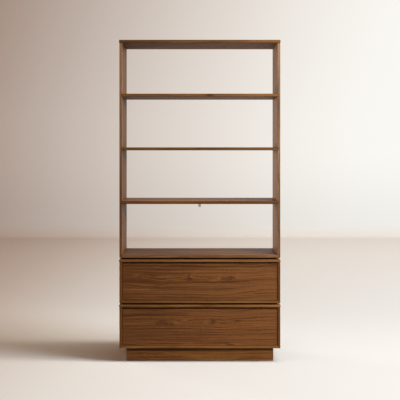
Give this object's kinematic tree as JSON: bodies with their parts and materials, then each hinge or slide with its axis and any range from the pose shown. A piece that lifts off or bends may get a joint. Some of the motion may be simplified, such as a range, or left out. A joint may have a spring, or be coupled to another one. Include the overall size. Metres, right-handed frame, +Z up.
{
  "type": "bookcase",
  "caption": "Tall open-backed wooden bookcase on stacked handle-less drawer modules and a recessed plinth, with housed shelves, dovetailed drawer boxes and ball-bearing runners.",
  "frame": {"origin": "on the floor, under the middle of the bookcase's outline", "axes": "+Z up, the drawer fronts face -Y, +X is the right-hand side seen from the front"},
  "size_m": [0.968, 0.402, 1.931],
  "materials": {
    "walnut": "oiled walnut, satin",
    "pale_wood": "clear-lacquered pale hardwood, matt",
    "black_stain": "black stain, matt",
    "steel": "zinc-plated"
  },
  "bodies": {
    "root": {"top_panel": "walnut", "bookcase_side_left": "walnut", "bookcase_side_right": "walnut", "deck": "walnut", "shelf_1": "walnut", "shelf_2": "walnut", "shelf_3": "walnut", "wall_bracket": "steel", "wall_bracket_screw_1": "steel", "wall_bracket_screw_2": "steel", "upper_gap_board": "black_stain", "lower_gap_board": "black_stain", "upper_module_top": "walnut", "upper_module_side_left": "walnut", "upper_module_side_right": "walnut", "upper_module_bottom": "walnut", "upper_module_back": "walnut", "upper_module_bolt_left": "steel", "upper_module_bolt_right": "steel", "lower_module_top": "walnut", "lower_module_side_left": "walnut", "lower_module_side_right": "walnut", "lower_module_bottom": "walnut", "lower_module_back": "walnut", "lower_module_bolt_left": "steel", "lower_module_bolt_right": "steel", "upper_runner_cabinet_left": "steel", "upper_runner_cabinet_right": "steel", "lower_runner_cabinet_left": "steel", "lower_runner_cabinet_right": "steel", "plinth_front": "walnut", "plinth_back": "walnut", "plinth_side_left": "walnut", "plinth_side_right": "walnut", "plinth_cross_rail": "walnut", "plinth_block_front_left": "pale_wood", "plinth_block_front_right": "pale_wood", "plinth_block_back_left": "pale_wood", "plinth_block_back_right": "pale_wood"},
    "upper_drawer": {"upper_drawer_front": "walnut", "upper_box_front": "pale_wood", "upper_box_back": "pale_wood", "upper_box_side_left": "pale_wood", "upper_box_side_right": "pale_wood", "upper_box_bottom": "pale_wood", "upper_runner_drawer_left": "steel", "upper_runner_drawer_right": "steel"},
    "upper_runner_middle": {"upper_runner_middle_left": "steel", "upper_runner_middle_right": "steel"},
    "lower_drawer": {"lower_drawer_front": "walnut", "lower_box_front": "pale_wood", "lower_box_back": "pale_wood", "lower_box_side_left": "pale_wood", "lower_box_side_right": "pale_wood", "lower_box_bottom": "pale_wood", "lower_runner_drawer_left": "steel", "lower_runner_drawer_right": "steel"},
    "lower_runner_middle": {"lower_runner_middle_left": "steel", "lower_runner_middle_right": "steel"}
  },
  "joints": [
    {"name": "upper_drawer_slide", "type": "slide", "parent": "root", "child": "upper_drawer", "axis": [0, -1, 0], "range_m": [0, 0.35]},
    {"name": "upper_runner_slide", "type": "slide", "parent": "root", "child": "upper_runner_middle", "axis": [0, -1, 0], "range_m": [0, 0.175]},
    {"name": "lower_drawer_slide", "type": "slide", "parent": "root", "child": "lower_drawer", "axis": [0, -1, 0], "range_m": [0, 0.35]},
    {"name": "lower_runner_slide", "type": "slide", "parent": "root", "child": "lower_runner_middle", "axis": [0, -1, 0], "range_m": [0, 0.175]}
  ],
  "couplings": [
    {"joint": "upper_runner_slide", "follows": "upper_drawer_slide", "ratio": 0.5},
    {"joint": "lower_runner_slide", "follows": "lower_drawer_slide", "ratio": 0.5}
  ]
}
